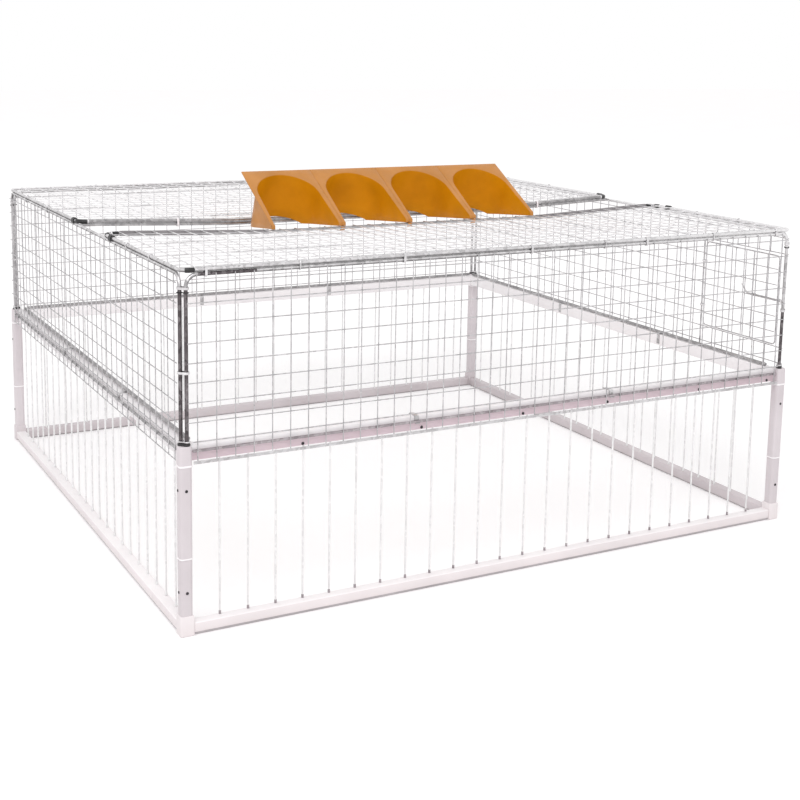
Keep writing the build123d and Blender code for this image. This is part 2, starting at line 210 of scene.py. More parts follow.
def strip(shape, path, axis, width, thickness, edge=0.25):
    sweep(shape, path, axis, rounded_rectangle(width, thickness, edge))


def loop_path(first, second, axis, first_r, second_r, steps=7):
    e = second - first
    span = e.length
    e = e / span
    n = axis.cross(e)
    a = acos((first_r - second_r) / span)
    path = []
    for centre, radius, start, end in (
        (second, second_r, -a, a), (first, first_r, a, 2 * pi - a),
    ):
        for k in range(steps):
            angle = start + (end - start) * k / (steps - 1)
            path.append(centre + (e * cos(angle) + n * sin(angle)) * radius)
    return path


def tie(shape, first, second, axis, first_r, second_r, thickness, height):
    middle = thickness / 2
    path = loop_path(first, second, axis, first_r + middle, second_r + middle)
    edge = min(thickness, height) * 0.28
    sweep(shape, path, axis, rounded_rectangle(height, thickness, edge), closed=True)


# A tie round two bars, with a gap of 0.5 mm
TIE_R = BAR_R + 0.5
TIE_THICKNESS = 1.3
TIE_HEIGHT = 4.0


def bar_tie(shape, first, second, axis):
    tie(shape, first, second, axis, TIE_R, TIE_R, TIE_THICKNESS, TIE_HEIGHT)


def wire_ring(shape, path, radius, axis, sides=8):
    profile = [(radius * c, radius * s) for c, s in circle(sides)]
    sweep(shape, path, axis, profile, closed=True)


# A thin ring round one bar
RING_R = 3.9
RING_WIRE_R = 0.9
RING_STEPS = 14


def bar_ring(shape, centre, axis):
    out = axis.orthogonal().normalized()
    across = axis.cross(out)
    path = [centre + (out * c + across * s) * RING_R for c, s in circle(RING_STEPS)]
    wire_ring(shape, path, RING_WIRE_R, axis)


# Moulded and extruded pieces: an outline is extruded and its edges are rounded
def prism(shape, outline, origin, x_axis, y_axis, height, bevel, segments=2):
    z_axis = x_axis.cross(y_axis)
    bm = bmesh.new()
    floor = [bm.verts.new(origin + x_axis * x + y_axis * y) for x, y in outline]
    roof = [bm.verts.new(v.co + z_axis * height) for v in floor]
    count = len(floor)
    bm.faces.new(list(reversed(floor)))
    bm.faces.new(roof)
    for k in range(count):
        m = (k + 1) % count
        bm.faces.new((floor[k], floor[m], roof[m], roof[k]))
    bmesh.ops.bevel(
        bm, geom=bm.edges[:], offset=bevel, segments=segments, profile=0.5, affect="EDGES",
    )
    bm.verts.index_update()
    shape.add([v.co.copy() for v in bm.verts], [[v.index for v in f.verts] for f in bm.faces])
    bm.free()


# A bar along a side, given by its reaches along it, inwards and up
def side_bar(shape, side, reach, depths, heights, bevel, segments=2):
    (u0, u1), (d0, d1), (low, high) = reach, depths, heights
    _, origin, along, inward = SIDES[side]
    outline = [(u0, d0), (u1, d0), (u1, d1), (u0, d1)]
    prism(shape, outline, origin + UP * low, along, inward, high - low, bevel, segments)


def lathe(shape, centre, axis, profile, sides=12):
    x = axis.orthogonal().normalized()
    y = axis.cross(x)
    rings = []
    for radius, height in profile:
        rings.append([centre + axis * height + (x * c + y * s) * radius for c, s in circle(sides)])
    shape.skin(rings)


# Materials: every one has colour variation, uneven gloss and a fine surface from its nodes, and
# goes with one of the record's slots
class Look:
    def __init__(self, name, slot=None, metallic=0.0, specular=0.5):
        self.slot = slot
        self.material = bpy.data.materials.new(name)
        self.material.use_nodes = True
        self.nodes = self.material.node_tree.nodes
        self.links = self.material.node_tree.links
        self.shader = self.nodes["Principled BSDF"]
        self.shader.inputs["Metallic"].default_value = metallic
        self.shader.inputs["Specular IOR Level"].default_value = specular
        spots = self.nodes.new("ShaderNodeTexCoord")
        self.place = spots.outputs["Object"]
        self.facing = spots.outputs["Normal"]

    # A new node with a source linked to one socket, and values for other sockets or settings
    def node(self, kind, socket, source, **values):
        made = self.nodes.new(kind)
        for key, value in values.items():
            if key in made.inputs:
                made.inputs[key].default_value = value
            else:
                setattr(made, key, value)
        self.links.new(source, made.inputs[socket])
        return made

    def noise(self, scale, detail=3.0, stretch=None):
        place = self.place
        if stretch:
            mapping = self.node("ShaderNodeMapping", "Vector", place, Scale=stretch)
            place = mapping.outputs["Vector"]
        values = {"Scale": scale, "Detail": detail, "Roughness": 0.55}
        return self.node("ShaderNodeTexNoise", "Vector", place, **values).outputs["Fac"]

    def spangle(self, scale):
        cells = self.node("ShaderNodeTexVoronoi", "Vector", self.place, Scale=scale)
        return self.node("ShaderNodeRGBToBW", "Color", cells.outputs["Color"]).outputs["Val"]

    def ramp(self, value, *stops):
        made = self.node("ShaderNodeValToRGB", "Fac", value)
        elements = made.color_ramp.elements
        for element, (position, colour) in zip(elements, (stops[0], stops[-1])):
            element.position = position
            element.color = (*colour, 1)
        for position, colour in stops[1:-1]:
            elements.new(position).color = (*colour, 1)
        return made.outputs["Color"]

    def span(self, value, low, high, start=0.3, end=0.7):
        limits = {"From Min": start, "From Max": end, "To Min": low, "To Max": high}
        return self.node("ShaderNodeMapRange", "Value", value, **limits).outputs["Result"]

    def product(self, first, second):
        made = self.node("ShaderNodeMath", 0, first, operation="MULTIPLY")
        self.links.new(second, made.inputs[1])
        return made.outputs[0]

    # The Mix node's colour sockets are 6 and 7, and its colour comes out at 2
    def mix(self, factor, first, second, blend="MIX"):
        made = self.nodes.new("ShaderNodeMix")
        made.data_type = "RGBA"
        made.blend_type = blend
        for index, value in ((0, factor), (6, first), (7, second)):
            socket = made.inputs[index]
            if isinstance(value, bpy.types.NodeSocket):
                self.links.new(value, socket)
            else:
                socket.default_value = value
        return made.outputs[2]

    def part(self, vector, axis="Z"):
        return self.node("ShaderNodeSeparateXYZ", "Vector", vector).outputs[axis]

    def finish(self, colour, rough, bump=None):
        self.links.new(colour, self.shader.inputs["Base Color"])
        self.links.new(rough, self.shader.inputs["Roughness"])
        if bump:
            height, strength, depth = bump
            made = self.node("ShaderNodeBump", "Height", height, Strength=strength, Distance=depth)
            self.links.new(made.outputs["Normal"], self.shader.inputs["Normal"])
        return self


WHITE = (1, 1, 1, 1)
# Tones of a paler painted reflection on the bars
REFLECTION_TONES = ((0.90, 0.895, 0.90), (0.96, 0.955, 0.96))


# under paints shade on the undersides, darkening them to that share; bright gives two ranges in
# metres, along two axes, over whose product a paler painted reflection is mixed in
def galvanised(
    name, dark, middle, light, gloss, under=1.0, bright=None, slot="galvanised_steel",
):
    look = Look(name, slot, metallic=0.9)
    tone = look.mix(0.45, look.noise(18, 4.0), look.spangle(160))
    colour = look.ramp(tone, (0.25, dark), (0.5, middle), (0.75, light))
    # Painted shade: the undersides are darkened
    if under < 1:
        darker = look.span(look.part(look.facing), under, 1.0, -0.6, 0.3)
        colour = look.mix(1.0, colour, darker, "MULTIPLY")
    # Painted reflection: paler over the product of the given ranges
    if bright:
        shares = []
        for axis, start, end, share in bright:
            shares.append(look.span(look.part(look.place, axis), 0.0, share, start, end))
        pale_reflection = look.ramp(tone, (0.25, REFLECTION_TONES[0]), (0.75, REFLECTION_TONES[1]))
        colour = look.mix(look.product(*shares), colour, pale_reflection)
    rough = look.span(look.noise(60, 3.0), *gloss)
    return look.finish(colour, rough, (look.noise(700, 2.0), 0.12, 0.0003))


# The lowest 50 mm are tinted, darker towards the bottom; shade_below gives a height in metres and
# the tint of painted shade under it
def white_plastic(name, clean, darker, bottom_tint=(0.80, 0.77, 0.75), shade_below=None):
    look = Look(name, "white_pvc", specular=0.45)
    colour = look.ramp(look.noise(7, 4.0), (0.35, darker), (0.62, clean))
    low = look.span(look.part(look.place), 0.0, 1.0, 0.0, 0.05)
    colour = look.mix(1.0, colour, look.mix(low, (*bottom_tint, 1), WHITE), "MULTIPLY")
    # Painted shade under the given height
    if shade_below:
        level, tint = shade_below
        high = look.span(look.part(look.place), 0.0, 1.0, level - 0.001, level + 0.001)
        colour = look.mix(1.0, colour, look.mix(high, (*tint, 1), WHITE), "MULTIPLY")
    rough = look.span(look.noise(40, 3.0), 0.34, 0.52)
    return look.finish(colour, rough, (look.noise(420, 3.0, (1, 1, 0.3)), 0.10, 0.0003))


def moulded(name, deep, main, pale, specular, slot="black_plastic"):
    look = Look(name, slot, specular=specular)
    colour = look.ramp(look.noise(14, 5.0), (0.3, deep), (0.52, main), (0.75, pale))
    rough = look.span(look.noise(55, 3.0), 0.36, 0.54)
    return look.finish(colour, rough, (look.noise(900, 2.0), 0.12, 0.0004))


# A dark copy of the bar steel: a painted dark reflection on the front panel's legs and a stretch
# of its top bar
DARK_REFLECTION_STEEL = galvanised(
    "painted_dark_reflection_steel", (0.055, 0.047, 0.05), (0.11, 0.097, 0.102), (0.24, 0.222, 0.23), (0.24, 0.42),
)
# Bar steel: painted shade on the undersides, and a paler painted reflection on the top bars
# towards the right
BAR_STEEL = galvanised(
    "bar_steel", (0.42, 0.41, 0.415), (0.64, 0.625, 0.635), (0.84, 0.825, 0.835), (0.24, 0.42),
    under=0.28, bright=(("X", -0.05, 0.5, 0.6), ("Z", 0.50, 0.545, 1.0)),
)
GREY_STEEL = galvanised(
    "grey_steel", (0.25, 0.243, 0.248), (0.37, 0.36, 0.366), (0.52, 0.51, 0.515), (0.28, 0.46),
)
FOOT_STEEL = galvanised(
    "foot_steel", (0.25, 0.222, 0.234), (0.37, 0.332, 0.348), (0.51, 0.47, 0.485), (0.26, 0.44),
)
WIRE_STEEL = galvanised(
    "wire_steel", (0.38, 0.37, 0.38), (0.51, 0.50, 0.51), (0.66, 0.65, 0.66), (0.30, 0.50),
)
# A paler copy of the wire steel for the roof's wires: painted light standing in for their
# highlights
ROOF_STEEL = galvanised(
    "roof_wire_steel", (0.70, 0.69, 0.70), (0.82, 0.81, 0.82), (0.92, 0.91, 0.92), (0.30, 0.50),
)
ROD_STEEL = galvanised(
    "rod_steel", (0.72, 0.72, 0.72), (0.80, 0.80, 0.80), (0.88, 0.88, 0.88), (0.35, 0.55),
)
RING_STEEL = galvanised(
    "ring_steel", (0.55, 0.53, 0.54), (0.68, 0.67, 0.68), (0.80, 0.79, 0.80), (0.25, 0.40),
)
WHITE_PVC = white_plastic(
    "white_pvc", (0.875, 0.828, 0.842), (0.81, 0.768, 0.78), (0.94, 0.92, 0.91),
)
# A darker copy of the white PVC, painted shade: on the posts and caps, the rear feet, and the rear
# and right bottom rails
SHADED_PVC = white_plastic(
    "shaded_pvc", (0.69, 0.64, 0.662), (0.61, 0.562, 0.583), (0.95, 0.94, 0.93),
)
# A paler copy of the white PVC, painted light: on the mid rails and the bottom rails' top faces,
# and as painted highlights on the posts' lips and the caps' rims
LIT_PVC = white_plastic(
    "lit_pvc", (0.95, 0.93, 0.94), (0.90, 0.87, 0.885), (0.97, 0.96, 0.95),
)
# The front mid rail: the paler PVC, with painted shade under the foot bar, below 287 mm
FRONT_PVC = white_plastic(
    "front_rail_pvc", (0.95, 0.93, 0.94), (0.90, 0.87, 0.885),
    shade_below=(0.287, (0.84, 0.71, 0.755)),
)
OCHRE_RIM = moulded(
    "ochre_rim", (0.46, 0.19, 0.034), (0.53, 0.222, 0.044), (0.60, 0.262, 0.062), 0.45,
    "ochre_plastic",
)
# A deeper, more saturated copy of the ochre plastic for the chutes' hollows: painted shade and
# coloured interreflection
OCHRE_HOLLOW = moulded(
    "ochre_hollow", (0.51, 0.187, 0.001), (0.60, 0.226, 0.002), (0.66, 0.256, 0.004), 0.08,
    "ochre_plastic",
)
# Grey runners under the bottom rails: their grey is painted shade, the dark line along the rails'
# foot
RUNNER = moulded(
    "runner_painted_shade", (0.42, 0.393, 0.404), (0.50, 0.47, 0.482), (0.58, 0.547, 0.56), 0.3,
)
SHEATH = moulded(
    "sheath_plastic", (0.19, 0.178, 0.184), (0.24, 0.226, 0.233), (0.30, 0.284, 0.292), 0.3,
)
BLACK = moulded(
    "black_plastic", (0.010, 0.010, 0.011), (0.018, 0.017, 0.018), (0.035, 0.033, 0.034), 0.5,
)
SCREW = galvanised(
    "screw_steel", (0.03, 0.028, 0.03), (0.06, 0.055, 0.06), (0.12, 0.11, 0.12), (0.35, 0.5),
    slot="black_plastic",
)

# White base: the bottom rails stand on grey runners, whose grey is painted shade along the rails'
# foot, and the mid rails lap into the caps
PALE_SIDES = ("front", "left")
RAIL_EDGE = 2.2
RAIL_TOP_FACE = 18.5
RUNNER_HEIGHT = 4.0
RUNNER_EDGE = 0.4
RUNNER_INSET = 3.0
RUNNER_LAP = 1.0
MID_FRONT = 11.5
MID_BACK = 29.5
MID_EDGE = 1.2
CAP_LAP = 1.6


def base_rails():
    runners = Shape()
    for side, (half, origin, along, inward) in SIDES.items():
        end = half - CORNER
        pale = side in PALE_SIDES
        # The runners, painted shade, are half as tall on the rear and right sides
        under = RUNNER_HEIGHT if pale else RUNNER_HEIGHT / 2
        rail = Shape()
        for shape, inset, heights, bevel in (
            (rail, STEP, (under, RAIL_TOP), RAIL_EDGE),
            (runners, STEP + RUNNER_INSET, (0.0, under + RUNNER_LAP), RUNNER_EDGE),
        ):
            side_bar(shape, side, (-end, end), (inset, CORNER - inset), heights, bevel, 3)
        # The rear and right bottom rails get the darker copy of the PVC, painted shade
        look = WHITE_PVC if pale else SHADED_PVC
        # The top faces of the front and left bottom rails are paler, painted light
        top = (LIT_PVC if pale else SHADED_PVC, lambda face: rail.middle(face).z > RAIL_TOP_FACE)
        rail.piece("rail_bottom_" + side, look, "bottom_rail_" + side, second=top)
        rail = Shape()
        short = end - (MID_BACK - CORNER)
        tip, turn = end + CAP_LAP, CORNER - CAP_LAP
        outline = [
            (-tip, MID_FRONT), (tip, MID_FRONT), (tip, turn),
            (short, MID_BACK), (-short, MID_BACK), (-tip, turn),
        ]
        prism(rail, outline, origin + UP * MID_LOW, along, inward, MID_TOP - MID_LOW, MID_EDGE)
        look = FRONT_PVC if side == "front" else LIT_PVC
        rail.piece("rail_mid_" + side, look, "mid_rail_" + side)
    runners.piece("rail_runners", RUNNER)


ROD_SPACES = {"front": 25, "right": 23, "rear": 25, "left": 23}
ROD_D = 16
ROD_R = 1.6
ROD_FOOT = [(1.5, 0.0), (2.0, 0.2), (2.0, 5.4), (1.6, 6.0)]


def base_rods():
    feet = Shape()
    for side, count in ROD_SPACES.items():
        clear = 2 * (SIDES[side][0] - CORNER)
        rods = Shape()
        for k in range(1, count):
            u = clear * k / count - clear / 2
            foot = at(side, u, ROD_D, RAIL_TOP)
            tube(rods, [foot, at(side, u, ROD_D, MID_LOW)], ROD_R, 10, 0.05)
            lathe(feet, foot, UP, ROD_FOOT, 10)
        rods.piece("round_rods_" + side, ROD_STEEL, "rods_" + side)
    # The front rods' dark feet are painted shade where the rods stand in the rail; the others take
    # the plain rod steel
    plain = (ROD_STEEL, lambda face: feet.middle(face).y > CORNER - HALF_D)
    feet.piece("rod_feet", FOOT_STEEL, second=plain)


# Corner pieces: rounded squares stacked up, each level a height and half a width, with radii for
# the outer, side and inner edges
QUARTERS = ((1, 1), (-1, 1), (-1, -1), (1, -1))
LIP_TOP = SEAM + 2.6
RIM_TOP = BASE - 28.8
FOOT_LEVELS = [(0, 10.2), (0.8, 11), (30.2, 11), (31.4, 10.6), (32, 9.8)]
LOWER_POST_LEVELS = [(30, 9.6), (SEAM - 0.6, 9.9), (SEAM, 9.4)]
UPPER_POST_LEVELS = [
    (SEAM, 9.6), (SEAM + 0.4, 10.5), (SEAM + 1.4, 10.7), (LIP_TOP, 10), (BASE - 31, 10),
]
CAP_LEVELS = [
    (BASE - 32, 10), (BASE - 31.5, 10.8), (BASE - 30.4, 11), (RIM_TOP, 10.3),
    (BASE - 2.2, 9.7), (BASE - 0.8, 9.3), (BASE, 8.6),
]
FOOT_RADII = (3.0, 1.2, 1.2)
POST_RADII = (5.5, 5.5, 5.5)
CAP_RADII = (5.0, 5.0, 1.5)


def pillar(shape, corner, levels, radii, steps=5):
    sx, sy = corner
    x, y = sx * (HALF_W - CORNER / 2), sy * (HALF_D - CORNER / 2)
    rings = []
    for z, half in levels:
        ring = []
        for k, (qx, qy) in enumerate(QUARTERS):
            radius = radii[(qx != sx) + (qy != sy)]
            centre = Vector((x + qx * (half - radius), y + qy * (half - radius), z))
            for i in range(steps + 1):
                angle = pi / 2 * (k + i / steps)
                ring.append(centre + Vector((cos(angle), sin(angle), 0)) * radius)
        rings.append(ring)
    shape.skin(rings)


def corner_pieces():
    for name, corner in CORNERS.items():
        foot = Shape()
        pillar(foot, corner, FOOT_LEVELS, FOOT_RADII)
        # The rear feet get the darker copy of the PVC, painted shade
        look = WHITE_PVC if name.startswith("front") else SHADED_PVC
        foot.piece("moulded_foot_" + name, look, "corner_foot_" + name)
        post = Shape()
        for levels in (LOWER_POST_LEVELS, UPPER_POST_LEVELS):
            pillar(post, corner, levels, POST_RADII)
        # The lip over the seam is paler, a painted highlight
        lip = (LIT_PVC, lambda face: SEAM < post.middle(face).z < LIP_TOP)
        post.piece("moulded_post_" + name, SHADED_PVC, "corner_post_" + name, second=lip)
        cap = Shape()
        pillar(cap, corner, CAP_LEVELS, CAP_RADII)
        # The cap's lower rim is paler, a painted highlight
        rim = (LIT_PVC, lambda face: cap.middle(face).z < RIM_TOP)
        cap.piece("moulded_cap_" + name, SHADED_PVC, "corner_cap_" + name, second=rim)


POST_SCREW = [(2.4, -0.6), (2.4, 0.25), (2.0, 0.7), (1.2, 0.85), (1.0, 0.45), (0.4, 0.4)]
POST_SCREW_HEIGHTS = (69, 229)


def post_screws():
    screws = Shape()
    for sx, sy in CORNERS.values():
        x, y = sx * (HALF_W - CORNER / 2), sy * (HALF_D - CORNER / 2)
        for z in POST_SCREW_HEIGHTS:
            on_front = Vector((x, sy * (HALF_D - STEP), z))
            on_side = Vector((sx * (HALF_W - STEP), y, z))
            lathe(screws, on_front, Vector((0, sy, 0)), POST_SCREW)
            lathe(screws, on_side, Vector((sx, 0, 0)), POST_SCREW)
    screws.piece("post_screws", SCREW)


# Side panels
LEG_FOOT = 273.0
LEG_JOIN = 408
MESH_LOW = 271.0
MESH_TOP = 555.7
ROW_0 = 272.8
ROW_COUNT = 10
COLUMN_D = 3.6
ROW_D = 2.0
HEM = (271.0, 269.3)
SHORT_ROWS = BASE + 6
WELD_LEVELS = ((-0.75, 0.66), (0.0, 1.0), (0.75, 0.66))
WELD_R = 0.775
FOOT_BAR_D = (4.5, 8.5)
FOOT_BAR_Z = (286, 290)
FOOT_BAR_EDGE = 0.8

# Where the front panel's bar is painted dark, a painted dark reflection: its legs up to a height
# each, and a stretch of its top
DARK_Y = -540
DARK_LEFT_LEG = 536
DARK_RIGHT_LEG = 409
DARK_TOP = (-568, -470)
DARK_TOP_END = -475

# The hand door in the right panel
DOOR_FRONT = -540.0
DOOR_REAR = -336.0
DOOR_JAMB = -329.0
DOOR_LOW = 337.8
DOOR_HIGH = 507.8
DOOR_STILE = -472.0
DOOR_ROWS = (3, 8)
JAMB_R = 1.6
JAMB_LOW = 290


def grid(limit):
    count = int(limit / PITCH)
    return [PITCH * k for k in range(-count, count + 1)]


def row_heights():
    return [ROW_0 + PITCH * k for k in range(ROW_COUNT)]


def mesh_end(half):
    return half - CORNER - 1


def row_reach(half, z):
    leg = half - LEG
    if z < SHORT_ROWS:
        return mesh_end(half)
    over = z - (TOP - BEND)
    return leg if over <= 0 else leg - BEND + sqrt(BEND ** 2 - over ** 2)


# The path has points where the dark stretches end, so that faces end there too
def panel_path(side):
    leg = SIDES[side][0] - LEG
    corners = [(-leg, LEG_JOIN), (-leg, TOP), (leg, TOP), (leg, LEG_JOIN)]
    path = rounded([at(side, u, INSET, z) for u, z in corners], [BEND, BEND])
    path.insert(len(path) // 2, at(side, DARK_TOP_END, INSET, TOP))
    return [at(side, -leg, INSET, LEG_FOOT), *path, at(side, leg, INSET, LEG_FOOT)]


def dark_stretch(point):
    leg = point.z < (DARK_LEFT_LEG if point.x < 0 else DARK_RIGHT_LEG)
    return point.y < DARK_Y and (leg or DARK_TOP[0] < point.x < DARK_TOP[1])


def weld(shape, centre):
    rings = []
    for level, share in WELD_LEVELS:
        spokes = [Vector((c * share, s * share, level)) for c, s in circle(6)]
        rings.append([centre + spoke * WELD_R for spoke in spokes])
    shape.skin(rings)


def wire(shape, path):
    tube(shape, path, WIRE_R, 8, 0.2)


def foot_bar(side, name, *reach):
    shape = Shape()
    side_bar(shape, side, reach, FOOT_BAR_D, FOOT_BAR_Z, FOOT_BAR_EDGE)
    shape.piece("foot_bar_" + name, FOOT_STEEL if side == "front" else GREY_STEEL)


def mesh_patch(shape, side, columns, column_z, rows):
    low, high = column_z
    for u in columns:
        wire(shape, [at(side, u, COLUMN_D, low), at(side, u, COLUMN_D, high)])
    for u0, u1, z in rows:
        wire(shape, [at(side, u0, ROW_D, z), at(side, u1, ROW_D, z)])
        for u in columns:
            if u0 <= u <= u1 and low <= z <= high:
                weld(shape, at(side, u, (COLUMN_D + ROW_D) / 2, z))


def panel_frames():
    for side in SIDES:
        bars = Shape()
        tube(bars, panel_path(side), BAR_R, BAR_SIDES)
        if side == "right":
            jamb = [at(side, DOOR_JAMB, INSET, z) for z in (JAMB_LOW, TOP)]
            tube(bars, jamb, JAMB_R, 12)
        # The dark stretches are a painted dark reflection
        dark = (DARK_REFLECTION_STEEL, lambda face: dark_stretch(bars.middle(face)))
        bars.piece("bent_frame_" + side, BAR_STEEL, "panel_frame_" + side, second=dark)


def plain_meshes():
    for side in ("front", "rear", "left"):
        half = SIDES[side][0]
        end = mesh_end(half)
        net = Shape()
        rows = [(-row_reach(half, z), row_reach(half, z), z) for z in row_heights()]
        mesh_patch(net, side, grid(end - 1), (MESH_LOW, MESH_TOP), rows)
        foot_bar(side, side, -end, end)
        for z in HEM if side == "front" else ():
            wire(net, [at(side, -end, ROW_D, z), at(side, end, ROW_D, z)])
        hem = (RING_STEEL, lambda face: side == "front" and net.middle(face).z < ROW_0 + 1)
        net.piece("wire_mesh_" + side, WIRE_STEEL, "panel_mesh_" + side, second=hem)


# The right panel's mesh has three patches, round the door
def right_mesh():
    side = "right"
    end = mesh_end(HALF_D)
    columns = grid(end - 1)
    near = [u for u in columns if u < DOOR_JAMB - 6]
    far = [u for u in columns if u > DOOR_JAMB + PITCH / 2]
    heights = row_heights()
    first, last = DOOR_ROWS
    sill, head = heights[first - 1] + WIRE_R, heights[last] - WIRE_R
    near_rows = [(-row_reach(HALF_D, z), DOOR_JAMB, z) for z in heights]
    far_rows = [(DOOR_JAMB, row_reach(HALF_D, z), z) for z in heights]
    rear_bar = ("right_rear", DOOR_JAMB, end)
    front_bar = ("right_front", -end, DOOR_JAMB)
    for name, node, places, column_z, rows, bar in (
        ("right_rear", "right_rear", far, (MESH_LOW, MESH_TOP), far_rows, rear_bar),
        ("right_low", "right_under_door", near, (MESH_LOW, sill), near_rows[:first], front_bar),
        ("right_high", "right_over_door", near, (head, MESH_TOP), near_rows[last:], None),
    ):
        net = Shape()
        mesh_patch(net, side, places, column_z, rows)
        if bar:
            foot_bar(side, *bar)
        net.piece("wire_mesh_" + name, WIRE_STEEL, "panel_mesh_" + node)


# Fittings on the pairs of legs
LEG_TIE_HEIGHTS = (408, 534.7)
LEG_HEAD_RING_Z = 528
GROMMET_Z = 298.75
GROMMET_R = 3.3
GROMMET_THICKNESS = 1.9
GROMMET_HEIGHT = 3.5
LEG_RING_Z = 303.4
LEG_RING_R = 4.2
LEG_RING_WIRE_R = 1.1


def leg_points(sx, sy, z):
    first = Vector((sx * (HALF_W - LEG), sy * (HALF_D - INSET), z))
    second = Vector((sx * (HALF_W - INSET), sy * (HALF_D - LEG), z))
    return first, second


def leg_fittings():
    ties, grommets, rings, heads = Shape(), Shape(), Shape(), Shape()
    for sx, sy in CORNERS.values():
        for z in LEG_TIE_HEIGHTS:
            bar_tie(ties, *leg_points(sx, sy, z), UP)
        for point in leg_points(sx, sy, LEG_HEAD_RING_Z):
            bar_ring(heads, point, UP)
        pair = leg_points(sx, sy, GROMMET_Z)
        tie(grommets, *pair, UP, GROMMET_R, GROMMET_R, GROMMET_THICKNESS, GROMMET_HEIGHT)
        path = loop_path(*leg_points(sx, sy, LEG_RING_Z), UP, LEG_RING_R, LEG_RING_R)
        wire_ring(rings, path, LEG_RING_WIRE_R, UP)
    ties.piece("leg_tie_bands", RING_STEEL, "leg_ties")
    grommets.piece("leg_rubber_rings", BLACK, "leg_grommets")
    rings.piece("leg_base_rings", RING_STEEL)
    heads.piece("leg_head_rings", BLACK)


# Straps that hook the panels to the mid rails, bars on the rails, and fasteners at the front
STRAPS = {"front": (-195, 195), "right": (-225, 135), "rear": (-165, 165), "left": (-135, 225)}
STRAP_POINTS = [(30.1, 276), (30.1, 296.6), (10.0, 296.6), (10.0, 284.9), (5.2, 284.9)]
STRAP_BEND = 1.5
STRAP_WIDTH = 8.0
STRAP_THICKNESS = 1.2
SHEET_STEP = radians(30)
RAIL_BAR_D = 25.3
RAIL_BAR_Z = 300.5
RAIL_BAR_GAP = 9
FASTENER = [(2.6, -0.6), (2.6, 0.4), (2.1, 1.1), (1.2, 1.4), (0.4, 1.45)]
FASTENER_PLACES = (-396, -185, 12, 189, 396, 560)
FASTENER_Z = 275.5


def rail_straps():
    straps = Shape()
    for side, places in STRAPS.items():
        along = SIDES[side][2]
        for u in places:
            points = [at(side, u, d, z) for d, z in STRAP_POINTS]
            path = rounded(points, [STRAP_BEND] * 3, SHEET_STEP)
            strip(straps, path, along, STRAP_WIDTH, STRAP_THICKNESS)
    straps.piece("rail_strap_clips", BAR_STEEL, "rail_clips")
    bars = Shape()
    for side in ("right", "rear", "left"):
        end = SIDES[side][0] - CORNER - RAIL_BAR_GAP
        path = [at(side, u, RAIL_BAR_D, RAIL_BAR_Z) for u in (-end, end)]
        tube(bars, path, BAR_R, BAR_SIDES)
    bars.piece("round_rail_bars", GREY_STEEL, "rail_bars")
    heads = Shape()
    for u in FASTENER_PLACES:
        lathe(heads, at("front", u, MID_FRONT, FASTENER_Z), Vector((0, -1, 0)), FASTENER)
    heads.piece("rail_fasteners", SCREW)


# Hand door with its bolt
DOOR_R = 1.3
DOOR_BEND = 8
DOOR_SPACES = 7
DOOR_COLUMN_D = 9.7
DOOR_ROW_D = 11.3
DOOR_WELD_D = 10.5
HINGE_HEIGHTS = (377.8, 467.8)
HINGE_DOOR_R = 1.8
HINGE_JAMB_R = 2.1
BOLT_Z = 422.8
BOLT_D = 2.7
BOLT_R = 1.5
BOLT_BEND = 5
BOLT_POINTS = ((-544.5, 0), (-452.5, 0), (-436.5, 16))
KEEPER_U = -549.5
KEEPER_D = 8.4
KEEPER_PLATE_D = 4.6
KEEPER_PLATE_HALF = 2.1
KEEPER_PLATE_EDGE = 0.4
GUIDE_D = 6.2
STAPLE_FRONT = 0.45
STAPLE_HALF = 2.25
STAPLE_BEND = 1.0
STAPLE_WIDTH = 6.0
STAPLE_THICKNESS = 0.9


# A bent strip round the bolt, open towards the inside
def staple(shape, u, depth):
    low, high = BOLT_Z - STAPLE_HALF, BOLT_Z + STAPLE_HALF
    corners = [(depth, low), (STAPLE_FRONT, low), (STAPLE_FRONT, high), (depth, high)]
    points = [at("right", u, d, z) for d, z in corners]
    path = rounded(points, [STAPLE_BEND] * 2, SHEET_STEP)
    strip(shape, path, SIDES["right"][2], STAPLE_WIDTH, STAPLE_THICKNESS)


def side_door():
    side = "right"
    middle = (DOOR_FRONT + DOOR_REAR) / 2
    bars = Shape()
    for edge in (DOOR_FRONT, DOOR_REAR):
        corners = [(middle, DOOR_LOW), (edge, DOOR_LOW), (edge, DOOR_HIGH), (middle, DOOR_HIGH)]
        path = rounded([at(side, u, INSET, z) for u, z in corners], [DOOR_BEND, DOOR_BEND])
        tube(bars, path, DOOR_R, 12, 0.0)
    tube(bars, [at(side, DOOR_STILE, INSET, z) for z in (DOOR_LOW, DOOR_HIGH)], DOOR_R, 12)
    bars.piece("bent_door_frame", WIRE_STEEL, "door_frame", body="side_door")
    net = Shape()
    step = (DOOR_REAR - DOOR_FRONT) / DOOR_SPACES
    columns = [DOOR_FRONT + step * k for k in range(1, DOOR_SPACES)]
    for u in columns:
        wire(net, [at(side, u, DOOR_COLUMN_D, z) for z in (DOOR_LOW, DOOR_HIGH)])
    for z in row_heights()[slice(*DOOR_ROWS)]:
        wire(net, [at(side, u, DOOR_ROW_D, z) for u in (DOOR_FRONT, DOOR_REAR)])
        for u in columns:
            weld(net, at(side, u, DOOR_WELD_D, z))
    net.piece("wire_mesh_door", WIRE_STEEL, "door_mesh", body="side_door")
    rings = Shape()
    for z in HINGE_HEIGHTS:
        hinge, jamb = at(side, DOOR_REAR, INSET, z), at(side, DOOR_JAMB, INSET, z)
        tie(rings, hinge, jamb, UP, HINGE_DOOR_R, HINGE_JAMB_R, TIE_THICKNESS, TIE_HEIGHT)
    rings.piece("door_hinge_rings", RING_STEEL, "door_rings")


